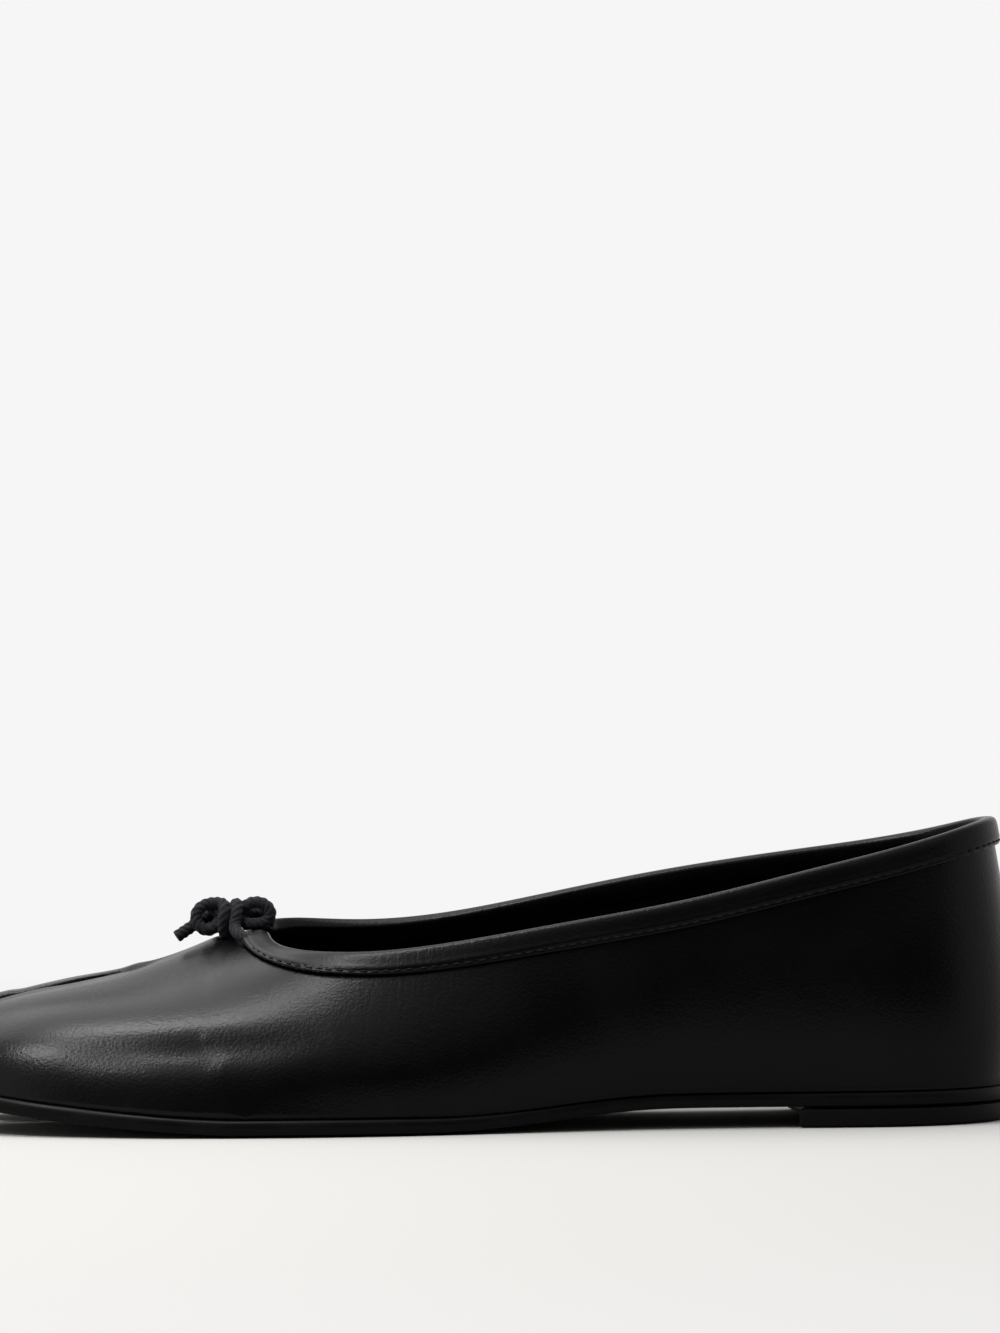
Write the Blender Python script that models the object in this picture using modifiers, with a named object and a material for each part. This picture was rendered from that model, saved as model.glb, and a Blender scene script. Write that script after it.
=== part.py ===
"""Left split-toe ballet flat in soft black leather.

A hollow upper lasted over a split-toe last, a folded collar binding with a knotted drawstring,
a thin outsole with toe spring and arch, a low heel lift and an insole.
The toe points to -X, the outer side of the foot faces -Y, +Z is up and the floor is z = 0.
Sizes below are millimetres, x is measured from the toe tip and y from the shoe's long axis.
"""

import collections
import math

import bmesh
import bpy
import numpy as np
from mathutils.bvhtree import BVHTree
from mathutils.kdtree import KDTree

MM = 0.001

# Leather, clearances and the casing of the drawstring
WALL = 1.5
RIM_STEP = 0.5
CLEARANCE = 0.3
BINDING_CLEARANCE = 0.45
BINDING_LEATHER = 0.8
BINDING_OUTSIDE = 5.2
BINDING_INSIDE = 4.2
BINDING_FRONT_OUTER = 3
BINDING_FRONT_INNER = 2
EDGE_FEEL = 1.5
CORD_RADIUS = 1.2

# Sole: flat under the ball, sprung at the toe, lifted over the waist to the heel seat
TOE_SPRING = 7.2
SPRING_POWER = 1.46
BALL_FROM = 70.0
BALL_TO = 115.0
SEAT_FROM = 167.0
SEAT_LIFT = 4.2
SOLE_FRONT = 4.1
SOLE_BACK = 4.1
SOLE_ROUND = 1.3
SLIT_STAND_BACK = -0.3
INSOLE_THICK = 1.8
INSOLE_INSET = 2.3
INSOLE_SLIT_INSET = 0.9

# Heel lift
BREAST_X = 194.0
BREAST_HOLLOW = 3.0
BREAST_STEPS = 8
HEEL_INSET = 0.7
HEEL_ROUND = 0.5

# Split toe: how far the lips roll over into the slit
LIP = 1.2
LIP_ROLL = ((0.55, 0.03), (0.9, 0.10), (1.0, 0.26), (1.0, 0.62), (1.0, 1.0))

# Where the leather is worked smooth: round the lobes' tips and over the vamp
TIP_SOFT = 9.0
VAMP_SOFT_FROM = 53.0
VAMP_SOFT_TO = 90.0
SOFT_ROUNDS = 3
LINING_SOFT = 6.0
LINING_ROUNDS = 10

# The heel's walls fan out round this point
HEEL_CENTRE_X = 214.0
HEEL_CENTRE_Y = 1.0

# The long axis as drawn is shifted so that the widest points lie evenly about y = 0
AXIS_SHIFT_X = -121.6
AXIS_SHIFT_Y = 0.1

COLUMNS = ("feather_x", "feather_y", "top_x", "top_y", "top_z", "flare", "rise", "tilt", "sweep", "reach")

# One row for each section of the wall, from the toe to the heel: the feather edge in plan, the top point
# (lip of the slit, crest of the vamp, then collar), and the curve between them: degrees that the wall leans
# out at the feather and how far it keeps that, then degrees above level and degrees swept back at the top
# and how far it keeps those.
OUTER_SIDE = (
    (2.5, -4.0, 2.5, -4.0, 11.2, 0, 0, 0, 0, 0),
    (4.6, -13.5, 4.6, 0.2, 21.0, 0, 6, -20, 0, 7),
    (10.0, -21.0, 9.5, 3.4, 25.6, 4, 9, -22, 0, 12),
    (18.5, -27.0, 17.5, 4.8, 28.4, 6, 11, -20, 0, 16),
    (31.0, -32.1, 30.0, 6.0, 31.5, 7, 13, -18, 0, 19),
    (49.0, -36.2, 47.0, 8.0, 35.8, 8, 15, -4, 0, 23),
    (58.5, -37.3, 61.0, 8.6, 40.0, 8, 18, 8, 20, 26),
    (66.5, -37.9, 74.6, 9.0, 42.6, 8, 20, 11, 42, 32),
    (74.0, -38.2, 75.4, 0.0, 41.4, 8, 19, 13, 50, 26),
    (81.5, -38.3, 77.8, -8.5, 39.9, 8, 17, 17, 42, 19),
    (89.5, -38.1, 83.0, -16.5, 38.7, 9, 15, 29, 30, 14),
    (99.0, -37.5, 91.5, -22.3, 38.3, 10, 14, 47, 18, 12),
    (110.0, -36.3, 104.0, -25.5, 38.7, 11, 13, 61, 9, 12),
    (125.5, -33.7, 122.0, -26.9, 41.0, 12, 13, 71, 3, 12),
    (147.0, -30.0, 145.0, -27.0, 44.9, 15, 13, 77, 0, 13),
    (170.0, -27.2, 169.5, -26.0, 49.2, 16, 14, 80, 0, 14),
    (195.0, -26.0, 194.5, -24.4, 55.0, 14, 16, 82, 0, 16),
    (216.0, -25.3, 214.0, -22.0, 59.6, 13, 17, 82, 0, 17),
    (232.0, -19.5, 228.5, -16.6, 63.4, 13, 17, 82, 0, 18),
    (240.5, -10.0, 236.5, -8.6, 65.6, 13, 18, 82, 0, 18),
    (243.0, 1.0, 239.3, 1.0, 66.2, 13, 18, 82, 0, 18),
)
INNER_SIDE = (
    (0.0, 15.0, 0.0, 15.0, 11.6, 0, 0, 0, 0, 0),
    (2.2, 23.5, 1.8, 11.8, 20.5, 0, 6, -20, 0, 7),
    (8.0, 29.3, 7.5, 9.6, 25.6, 4, 9, -22, 0, 10),
    (17.0, 32.7, 16.5, 8.6, 28.5, 6, 12, -20, 0, 11),
    (30.0, 35.1, 29.5, 9.2, 31.3, 7, 15, -18, 0, 13),
    (48.0, 37.0, 47.0, 8.0, 35.8, 8, 18, -4, 0, 16),
    (57.5, 37.8, 61.0, 8.6, 40.0, 8, 22, 2.5, 20, 20),
    (65.5, 38.2, 74.6, 9.0, 42.6, 9, 25, 3.5, 42, 27),
    (72.0, 38.3, 75.3, 15.0, 43.0, 9, 23, 8, 52, 21),
    (79.0, 37.9, 77.6, 19.0, 43.6, 10, 20, 15, 44, 16),
    (86.5, 36.8, 82.5, 22.2, 43.8, 11, 18, 31, 31, 13),
    (95.5, 34.8, 91.0, 24.6, 43.3, 12, 16, 48, 18, 12),
    (107.0, 32.0, 103.5, 25.7, 43.3, 14, 16, 61, 9, 12),
    (123.0, 28.2, 121.0, 25.8, 45.3, 16, 15, 71, 3, 12),
    (146.0, 24.4, 144.0, 25.0, 49.8, 20, 15, 79, 0, 13),
    (169.0, 23.6, 168.5, 24.4, 54.4, 19, 16, 82, 0, 14),
    (194.0, 25.6, 193.5, 24.3, 58.0, 15, 17, 83, 0, 16),
    (215.0, 26.6, 213.0, 23.2, 60.6, 13, 17, 82, 0, 17),
    (231.5, 21.5, 228.0, 18.4, 63.4, 13, 17, 82, 0, 18),
    (240.3, 12.0, 236.4, 10.5, 65.6, 13, 18, 82, 0, 18),
)
CROTCH_ROW = 5
THROAT_ROW = 7
COLUMNS_A_ROW = 3
WALL_STEPS = 10
CURVE_STEPS = 60

# Outsole edge beyond the feather line: (x, outer side, inner side)
SOLE_REACH = (
    (0.0, 1.2, 1.2),
    (60.0, 1.2, 1.0),
    (110.0, 0.8, 0.2),
    (160.0, -0.6, -0.8),
    (200.0, 0.0, 0.0),
    (246.0, 0.2, 0.2),
)

# Drawstring bow: its knot, and the hand-laid routes of its loops, ends and feet (x, y, z)
KNOT_CENTRE = (67.2, 6.8, 46.2)
KNOT_RADII = (2.4, 2.7, 3.1)
CORD_ROUTES = {
    "bow_loop_front": (
        (64.3, 7.5, 47.6),
        (62.3, 7.4, 48.7),
        (60.0, 6.8, 48.0),
        (59.1, 6.2, 46.0),
        (60.0, 5.6, 44.1),
        (62.2, 5.2, 43.6),
        (64.3, 5.6, 44.6),
    ),
    "bow_loop_back": (
        (70.1, 7.5, 47.5),
        (72.2, 7.4, 49.0),
        (74.7, 6.8, 49.0),
        (76.2, 6.2, 47.2),
        (75.4, 5.6, 45.4),
        (73.0, 5.2, 45.1),
        (70.4, 5.6, 45.6),
    ),
    "bow_tail_near": (
        (64.1, 10.0, 45.6),
        (61.6, 9.6, 45.6),
        (58.8, 8.8, 44.7),
        (56.5, 8.2, 43.2),
        (54.8, 7.8, 41.6),
    ),
    "bow_tail_far": (
        (66.2, 10.2, 46.6),
        (64.6, 12.1, 46.2),
        (62.2, 13.8, 44.6),
        (59.4, 15.2, 42.0),
    ),
    "bow_foot_near": (
        (67.25, 4.3, 43.6),
        (67.9, 3.2, 42.7),
        (69.2, 2.1, 42.2),
        (71.0, 1.3, 42.45),
    ),
    "bow_foot_far": (
        (67.25, 9.3, 43.6),
        (67.9, 10.4, 43.1),
        (69.2, 11.3, 43.0),
        (71.0, 12.0, 43.45),
    ),
}
ROUTE_STEP = 1.6

# Colours (linear) and surface of each material
LEATHER = ("smooth_black_calf", (0.012, 0.012, 0.013, 1.0), 0.34)
BINDING = ("black_calf_binding", (0.012, 0.012, 0.013, 1.0), 0.36)
SOLE_MATERIAL = ("black_sole_leather", (0.018, 0.017, 0.016, 1.0), 0.5)
HEEL_MATERIAL = ("black_heel_rubber", (0.015, 0.015, 0.015, 1.0), 0.6)
SOCK_MATERIAL = ("black_sock_lining", (0.02, 0.019, 0.018, 1.0), 0.55)
CORD_MATERIAL = ("black_cotton_cord", (0.014, 0.014, 0.018, 1.0), 0.8)


def spline(values, at, level_start=False, level_end=False):
    """Cubic spline through values at 0, 1, 2 and so on, read at the places in at."""
    values = np.asarray(values, float)
    count = len(values)
    matrix = np.zeros((count, count))
    right = np.zeros(count)
    for i in range(1, count - 1):
        matrix[i, i - 1 : i + 2] = (1.0, 4.0, 1.0)
        right[i] = 6.0 * (values[i - 1] - 2.0 * values[i] + values[i + 1])
    matrix[0, 0] = matrix[-1, -1] = 1.0
    if level_start:
        matrix[0, :2] = (2.0, 1.0)
        right[0] = 6.0 * (values[1] - values[0])
    if level_end:
        matrix[-1, -2:] = (1.0, 2.0)
        right[-1] = 6.0 * (values[-2] - values[-1])
    bend = np.linalg.solve(matrix, right)
    start = np.clip(np.floor(at).astype(int), 0, count - 2)
    t = at - start
    left = 1.0 - t
    curve = (left**3 - left) * bend[start] / 6.0 + (t**3 - t) * bend[start + 1] / 6.0
    return left * values[start] + t * values[start + 1] + curve


def ease(x, start, end):
    """Smooth step from 0 at start to 1 at end."""
    t = np.clip((x - start) / (end - start), 0.0, 1.0)
    return t * t * (3.0 - 2.0 * t)


def sole_bottom(x):
    """Height of the outsole's underside above the floor."""
    spring = TOE_SPRING * np.clip(1.0 - x / BALL_FROM, 0.0, None) ** SPRING_POWER
    return spring + SEAT_LIFT * ease(x, BALL_TO, SEAT_FROM)


def sole_top(x):
    """Height of the outsole's upper face."""
    return sole_bottom(x) + SOLE_FRONT + (SOLE_BACK - SOLE_FRONT) * ease(x, BALL_TO, SEAT_FROM)


def wall_sections():
    """The splined section values, from the outer lobe's tip round the heel to the inner lobe's tip.
    The top line turns at the crotch and at the throat, so it is splined in stretches between them."""
    rows = np.array(OUTER_SIDE + INNER_SIDE[::-1])
    end = len(rows) - 1
    stretches = (0, CROTCH_ROW, THROAT_ROW, end - THROAT_ROW, end - CROTCH_ROW, end)
    level = (0, THROAT_ROW, end - THROAT_ROW, end)
    columns = {}
    for name, values in zip(COLUMNS, rows.T):
        cuts = stretches if name.startswith("top_") else (0, end)
        run = [values[0]]
        for first, last in zip(cuts, cuts[1:]):
            at = np.linspace(0.0, last - first, (last - first) * COLUMNS_A_ROW + 1)
            levels = [name.endswith("_x") and row in level for row in (first, last)]
            run.extend(spline(values[first : last + 1], at, *levels)[1:])
        columns[name] = np.array(run)
    return columns


SECTION = wall_sections()
LAST = len(SECTION["feather_x"]) - 1
CROTCH = CROTCH_ROW * COLUMNS_A_ROW
THROAT = THROAT_ROW * COLUMNS_A_ROW


def feather(k):
    """Point of column k on the feather edge, where the wall meets the sole."""
    x = SECTION["feather_x"][k]
    return np.array((x, SECTION["feather_y"][k], sole_top(x) + CLEARANCE))


def top(k):
    """Top point of column k. At the lobes' tips it is on the feather edge."""
    if k in (0, LAST):
        return feather(k)
    return np.array([SECTION[name][k] for name in ("top_x", "top_y", "top_z")])


def side_of(k):
    """-1 on the outer side of the foot, 1 on the inner side."""
    return -1.0 if k <= LAST // 2 else 1.0


def inward(k):
    """Level direction in which column k's wall leans over: across the foot, radial round the heel."""
    x, y, _ = feather(k)
    if x <= HEEL_CENTRE_X:
        return np.array((0.0, -side_of(k), 0.0))
    aim = np.array((HEEL_CENTRE_X - x, HEEL_CENTRE_Y - y, 0.0))
    return aim / np.linalg.norm(aim)


def wall_curve(k):
    """Fine points of column k's wall from the feather edge to its top."""
    up = np.array((0.0, 0.0, 1.0))
    flare = math.radians(SECTION["flare"][k])
    tilt = math.radians(SECTION["tilt"][k])
    sweep = math.radians(SECTION["sweep"][k])
    low = feather(k)
    high = top(k)
    lean = inward(k)
    swept = lean * math.cos(sweep) + np.array((math.sin(sweep), 0.0, 0.0))
    low_handle = low + SECTION["rise"][k] * (up * math.cos(flare) - lean * math.sin(flare))
    high_handle = high - SECTION["reach"][k] * (up * math.sin(tilt) + swept * math.cos(tilt))
    t = np.linspace(0.0, 1.0, CURVE_STEPS + 1)[:, None]
    s = 1.0 - t
    return s**3 * low + 3.0 * s * s * t * low_handle + 3.0 * s * t * t * high_handle + t**3 * high


def along(points, distances):
    """Points at the given distances along a chain of points."""
    steps = np.linalg.norm(np.diff(points, axis=0), axis=1)
    run = np.concatenate(((0.0,), np.cumsum(steps)))
    return np.array([np.interp(distances, run, points[:, i]) for i in range(3)]).T


def wall_points(k):
    """The wall's points in even steps from feather to top."""
    curve = wall_curve(k)
    length = np.linalg.norm(np.diff(curve, axis=0), axis=1).sum()
    return along(curve, np.linspace(0.0, length, WALL_STEPS + 1))


def lip_width(k):
    """How far the lip of column k rolls over, fading to nothing at the crotch."""
    rows_left = CROTCH_ROW - min(k, LAST - k) / COLUMNS_A_ROW
    at_tip = rows_left == CROTCH_ROW
    return 0.0 if at_tip else LIP * min(1.0, rows_left) ** 2


def slit_points(k):
    """The wall of the slit from the lip of column k down to the sole."""
    lip = wall_points(k)[-1]
    floor = sole_top(lip[0]) + CLEARANCE
    points = []
    for roll, depth in LIP_ROLL:
        y = lip[1] - side_of(k) * roll * lip_width(k)
        points.append((lip[0], y, lip[2] + depth * (floor - lip[2])))
    return np.array(points)


def place(point):
    """From the drawing's millimetres to the part's metres."""
    return ((point[0] + AXIS_SHIFT_X) * MM, (point[1] + AXIS_SHIFT_Y) * MM, point[2] * MM)


def add_object(name, mesh, material):
    """One sub-part: a named object with its material, in the shoe's collection."""
    part = bpy.data.objects.new(name, mesh)
    slot_name, colour, roughness = material
    skin = bpy.data.materials.get(slot_name) or bpy.data.materials.new(slot_name)
    skin.use_nodes = True
    shader = skin.node_tree.nodes["Principled BSDF"]
    shader.inputs["Base Color"].default_value = colour
    shader.inputs["Roughness"].default_value = roughness
    mesh.materials.append(skin)
    shoe.objects.link(part)
    return part


def loft(columns, close_round=False):
    """A mesh of quads between neighbouring columns of points."""
    form = bmesh.new()
    grid = [[form.verts.new(place(point)) for point in column] for column in columns]
    pairs = list(zip(grid, grid[1:]))
    for here, there in pairs:
        steps = list(zip(here, here[1:], there, there[1:]))
        if close_round:
            steps.append((here[-1], here[0], there[-1], there[0]))
        for low, high, next_low, next_high in steps:
            form.faces.new((low, next_low, next_high, high))
    return form, grid


def finish_mesh(form, name):
    mesh = bpy.data.meshes.new(name)
    form.to_mesh(mesh)
    form.free()
    mesh.shade_smooth()
    mesh.set_sharp_from_angle(angle=math.radians(40.0))
    return mesh


def outer_skin():
    """Outer face of the upper: the walls of both sides, joined along the crest, with the slit between
    the lobes."""
    columns = [wall_points(k) for k in range(LAST + 1)]
    form, grid = loft(columns)
    for ks in (range(0, CROTCH + 1), range(LAST - CROTCH, LAST + 1)):
        chains = []
        for k in ks:
            chain = [grid[k][-1]]
            chain += [form.verts.new(place(point)) for point in slit_points(k)]
            chains.append(chain)
        for here, there in zip(chains, chains[1:]):
            for low, high, next_low, next_high in zip(here, here[1:], there, there[1:]):
                form.faces.new((low, next_low, next_high, high))
    bmesh.ops.remove_doubles(form, verts=form.verts, dist=0.00002)
    tips = [np.array(place(feather(k))) for k in (0, LAST)]
    soft = []
    for vertex in form.verts:
        x = vertex.co.x / MM - AXIS_SHIFT_X
        at_tip = min(np.linalg.norm(np.array(vertex.co) - tip) for tip in tips) < TIP_SOFT * MM
        if not vertex.is_boundary and (at_tip or VAMP_SOFT_FROM < x < VAMP_SOFT_TO):
            soft.append(vertex)
    for _ in range(SOFT_ROUNDS):
        bmesh.ops.smooth_vert(form, verts=soft, factor=0.5, use_axis_x=True, use_axis_y=True, use_axis_z=True)
    return form


def build_upper():
    """Hollow upper: the outer face with the wall's thickness added inside it."""
    skin = add_object("upper", finish_mesh(outer_skin(), "upper"), LEATHER)
    count = len(skin.data.vertices)
    uses = collections.Counter(key for face in skin.data.polygons for key in face.edge_keys)
    rim = {index for key, faces in uses.items() if faces == 1 for index in key}
    shell = skin.modifiers.new("wall", "SOLIDIFY")
    shell.thickness = WALL * MM
    shell.offset = -1.0
    walls = bpy.data.meshes.new_from_object(skin.evaluated_get(bpy.context.evaluated_depsgraph_get()))
    skin.modifiers.clear()
    skin.data = walls
    smooth_lining(walls)
    for vertex in walls.vertices:
        seat = (sole_top(vertex.co.x / MM - AXIS_SHIFT_X) + CLEARANCE) * MM
        on_rim = vertex.index % count in rim
        if on_rim and vertex.co.z < seat + WALL * MM:
            vertex.co.z = seat
        elif not on_rim:
            vertex.co.z = max(vertex.co.z, seat + RIM_STEP * MM)
    return skin


def smooth_lining(walls):
    """Round the inside face under the lips of the slit and behind the lobes' tips."""
    form = bmesh.new()
    form.from_mesh(walls)
    lips = KDTree(2 * CROTCH + 2)
    for k in (*range(CROTCH + 1), *range(LAST - CROTCH, LAST + 1)):
        lips.insert(place(top(k)), k)
    lips.balance()
    inside = len(form.verts) // 2
    soft = []
    for vertex in form.verts:
        seat = (sole_top(vertex.co.x / MM - AXIS_SHIFT_X) + CLEARANCE + WALL) * MM
        _, k, distance = lips.find(vertex.co)
        in_lobe = min(k, LAST - k) < CROTCH
        if vertex.index >= inside and in_lobe and vertex.co.z > seat and distance < LINING_SOFT * MM:
            soft.append(vertex)
    for _ in range(LINING_ROUNDS):
        bmesh.ops.smooth_vert(form, verts=soft, factor=0.5, use_axis_x=True, use_axis_y=True, use_axis_z=True)
    form.to_mesh(walls)
    form.free()


def plan_loop():
    """The feather line in plan, round both lobes and into the slit, with a tag for the slit's points."""
    points = [feather(k)[:2] for k in range(LAST + 1)]
    points += [slit_points(k)[-1][:2] for k in range(LAST - 1, LAST - CROTCH - 1, -1)]
    points += [slit_points(k)[-1][:2] for k in range(CROTCH - 1, 0, -1)]
    return np.array(points)


def outward_normals(loop):
    """Level normals of a closed loop of plan points, pointing away from its inside."""
    ahead = np.roll(loop, -1, axis=0) - np.roll(loop, 1, axis=0)
    normals = np.stack((ahead[:, 1], -ahead[:, 0]), axis=1)
    return normals / np.linalg.norm(normals, axis=1)[:, None]


def sole_reach():
    """How far the outsole stands beyond the feather line at each point of the plan loop."""
    x, outer, inner = np.array(SOLE_REACH).T
    reach = []
    for i, (px, _) in enumerate(plan_loop()):
        if i <= LAST:
            reach.append(np.interp(px, x, outer if i <= LAST // 2 else inner))
        else:
            steps_in = min(i - LAST, 2 * CROTCH + LAST - i)
            fade = min(1.0, steps_in / (2.0 * COLUMNS_A_ROW))
            reach.append((1.0 - fade) * SOLE_REACH[0][1] + fade * SLIT_STAND_BACK)
    return np.array(reach)


def plate(name, reach, edge, low, high, material):
    """A sheet inside the plan loop. edge lists (inset, height share) up its rim, and the caps run
    straight across the foot, so the sheet follows the heights low(x) and high(x) along it."""
    loop = plan_loop()
    normals = outward_normals(loop)
    form = bmesh.new()
    rims = []
    for inset, share in edge:
        rim = []
        for (x, y), normal, beyond in zip(loop, normals, reach):
            px, py = np.array((x, y)) + normal * (beyond - inset)
            rim.append(form.verts.new(place((px, py, low(px) + share * (high(px) - low(px))))))
        rims.append(rim)
    count = len(loop)
    for here, there in zip(rims, rims[1:]):
        for i in range(count):
            j = (i + 1) % count
            form.faces.new((here[i], here[j], there[j], there[i]))
    crotch = LAST + CROTCH
    for rim, turn in ((rims[0], -1), (rims[-1], 1)):
        faces = []
        for k in range(LAST // 2):
            a, b = rim[k], rim[k + 1]
            if k < CROTCH:
                outer_slit = count - k if k else 0
                faces.append((a, b, rim[count - k - 1], rim[outer_slit]))
                faces.append((rim[LAST - k], rim[LAST + k], rim[LAST + k + 1], rim[LAST - k - 1]))
            elif k == CROTCH:
                faces.append((a, b, rim[LAST - k - 1], rim[LAST - k], rim[crotch]))
            else:
                faces.append((a, b, rim[LAST - k - 1], rim[LAST - k]))
        for face in faces:
            corners = list(dict.fromkeys(face))
            form.faces.new(corners[::turn])
    bmesh.ops.recalc_face_normals(form, faces=form.faces)
    return add_object(name, finish_mesh(form, name), material)


def build_outsole():
    """Outsole with a rounded edge, toe spring, arch and the notch between the lobes."""
    edge = (
        (SOLE_ROUND, 0.0),
        (0.35 * SOLE_ROUND, 0.1),
        (0.0, 0.42),
        (0.25 * SOLE_ROUND, 0.86),
        (SOLE_ROUND, 1.0),
    )
    return plate("outsole", sole_reach(), edge, sole_bottom, sole_top, SOLE_MATERIAL)


def build_insole():
    """Sock that lies on the outsole inside the walls."""

    def low(x):
        return sole_top(x) + CLEARANCE

    def high(x):
        return low(x) + INSOLE_THICK

    reach = np.full(len(plan_loop()), -INSOLE_INSET)
    reach[LAST + 1 :] -= INSOLE_SLIT_INSET
    return plate("insole", reach, ((0.0, 0.0), (0.0, 0.7), (0.5, 1.0)), low, high, SOCK_MATERIAL)


def build_heel():
    """Heel lift under the seat, with a hollowed breast."""
    loop = plan_loop()
    edge = loop + outward_normals(loop) * (sole_reach() - HEEL_INSET)[:, None]
    edge = edge[: LAST + 1]
    rear = [point for point in edge if point[0] > BREAST_X + HEEL_ROUND]
    half = LAST // 2
    outer = np.array((BREAST_X, np.interp(BREAST_X, edge[:half, 0], edge[:half, 1])))
    inner = np.array((BREAST_X, np.interp(BREAST_X, edge[:half:-1, 0], edge[:half:-1, 1])))
    plan = [outer, *rear, inner]
    for step in range(1, BREAST_STEPS):
        share = step / BREAST_STEPS
        hollow = BREAST_HOLLOW * 4.0 * share * (1.0 - share)
        plan.append(inner + share * (outer - inner) + np.array((hollow, 0.0)))
    plan = np.array(plan)
    normals = outward_normals(plan)
    form = bmesh.new()
    rims = []
    for inset, z in ((HEEL_ROUND, 0.0), (0.0, HEEL_ROUND), (0.0, SEAT_LIFT - CLEARANCE)):
        rims.append([form.verts.new(place((*point, z))) for point in plan - inset * normals])
    for here, there in zip(rims, rims[1:]):
        for i in range(len(plan)):
            j = (i + 1) % len(plan)
            form.faces.new((here[i], here[j], there[j], there[i]))
    form.faces.new(rims[0][::-1])
    form.faces.new(rims[-1])
    bmesh.ops.recalc_face_normals(form, faces=form.faces)
    return add_object("heel", finish_mesh(form, "heel"), HEEL_MATERIAL)


def collar_top(k):
    """Collar edge beside column k. In front of the throat it carries on round to the other side."""
    around = LAST - 2 * THROAT
    return top(THROAT + (k - THROAT) % around)


def edge_normal(k):
    """Outward normal of the upper just below the collar edge at column k."""
    total = np.zeros(3)
    for near in (k - 1, k, k + 1):
        below = along(wall_curve(near)[::-1], np.array((EDGE_FEEL,)))[0]
        total += np.array(SKIN.find_nearest(place(below))[1])
    return total / np.linalg.norm(total)


def collar_point(k, depth):
    """Point of the upper's outer face at a depth from the collar edge beside column k, negative above it."""
    run = collar_top(k + 1) - collar_top(k - 1)
    down = np.cross(run, edge_normal(k))
    point = collar_top(k) + depth * down / np.linalg.norm(down)
    if depth <= 0.0:
        return point
    on_skin = SKIN.find_nearest(place(point))[0]
    return np.array(on_skin) / MM - np.array((AXIS_SHIFT_X, AXIS_SHIFT_Y, 0.0))


def collar_normal(k, depth):
    """Outward normal of the upper there."""
    depth = max(depth, 0.0)
    run = collar_point(k + 1, depth) - collar_point(k - 1, depth)
    climb = collar_point(k, depth - EDGE_FEEL) - collar_point(k, depth + EDGE_FEEL)
    normal = np.cross(run, climb)
    return normal / np.linalg.norm(normal)


def build_binding():
    """Folded leather casing over the collar edge, open at centre front for the drawstring."""
    near = BINDING_CLEARANCE
    far = BINDING_CLEARANCE + BINDING_LEATHER
    fold = 0.7 * BINDING_LEATHER
    section = (
        (BINDING_OUTSIDE, near),
        (BINDING_OUTSIDE, far),
        (0.5 * BINDING_OUTSIDE, far),
        (0.0, far),
        (-near - fold, far - fold),
        (-far, -0.5 * WALL),
        (-near - fold, -WALL - far + fold),
        (0.0, -WALL - far),
        (BINDING_INSIDE, -WALL - far),
        (BINDING_INSIDE, -WALL - near),
        (-near, -WALL - near),
        (-near, near),
    )
    rings = []
    for k in range(THROAT + BINDING_FRONT_OUTER, LAST - THROAT - BINDING_FRONT_INNER + 1):
        ring = [collar_point(k, depth) + off * collar_normal(k, depth) for depth, off in section]
        rings.append(ring)
    form, grid = loft(rings, close_round=True)
    form.faces.new(grid[0])
    form.faces.new(grid[-1][::-1])
    bmesh.ops.recalc_face_normals(form, faces=form.faces)
    return add_object("collar_binding", finish_mesh(form, "collar_binding"), BINDING)


def build_cord(name, route):
    """Stretch of the drawstring: a round tube on a smooth curve through its route."""
    route = np.array(route)
    fine = np.linspace(0.0, len(route) - 1.0, 12 * len(route))
    smooth = np.stack([spline(route[:, i], fine) for i in range(3)], axis=1)
    length = np.linalg.norm(np.diff(smooth, axis=0), axis=1).sum()
    points = along(smooth, np.linspace(0.0, length, max(4, round(length / ROUTE_STEP) + 1)))
    curve = bpy.data.curves.new(name, "CURVE")
    curve.dimensions = "3D"
    curve.bevel_depth = CORD_RADIUS * MM
    curve.bevel_resolution = 2
    curve.use_fill_caps = True
    line = curve.splines.new("POLY")
    line.points.add(len(points) - 1)
    for node, point in zip(line.points, points):
        node.co = (*place(point), 1.0)
    return add_object(name, curve, CORD_MATERIAL)


def build_knot():
    """Body of the bow's knot as one plain solid."""
    form = bmesh.new()
    bmesh.ops.create_uvsphere(form, u_segments=16, v_segments=10, radius=1.0)
    bmesh.ops.scale(form, verts=form.verts, vec=[radius * MM for radius in KNOT_RADII])
    bmesh.ops.translate(form, verts=form.verts, vec=place(KNOT_CENTRE))
    return add_object("bow_knot", finish_mesh(form, "bow_knot"), CORD_MATERIAL)


for old in list(bpy.data.objects):
    bpy.data.objects.remove(old, do_unlink=True)
shoe = bpy.data.collections.new("split_toe_flat")
bpy.context.scene.collection.children.link(shoe)

SKIN = BVHTree.FromBMesh(outer_skin())
build_upper()
build_outsole()
build_insole()
build_heel()
build_binding()
build_knot()
for cord_name, cord_route in CORD_ROUTES.items():
    build_cord(cord_name, cord_route)
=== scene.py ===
"""Looks of a left split-toe ballet flat in smooth black calf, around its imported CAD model.

Metres, in the CAD model's own frame: the toe points to -X, the outer side of the foot
faces -Y, +Z is up and the shoe stands on z = 0.
"""

import math

import bmesh
import bpy
from mathutils import Matrix, Vector
from mathutils.bvhtree import BVHTree
from mathutils.kdtree import KDTree


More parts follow.
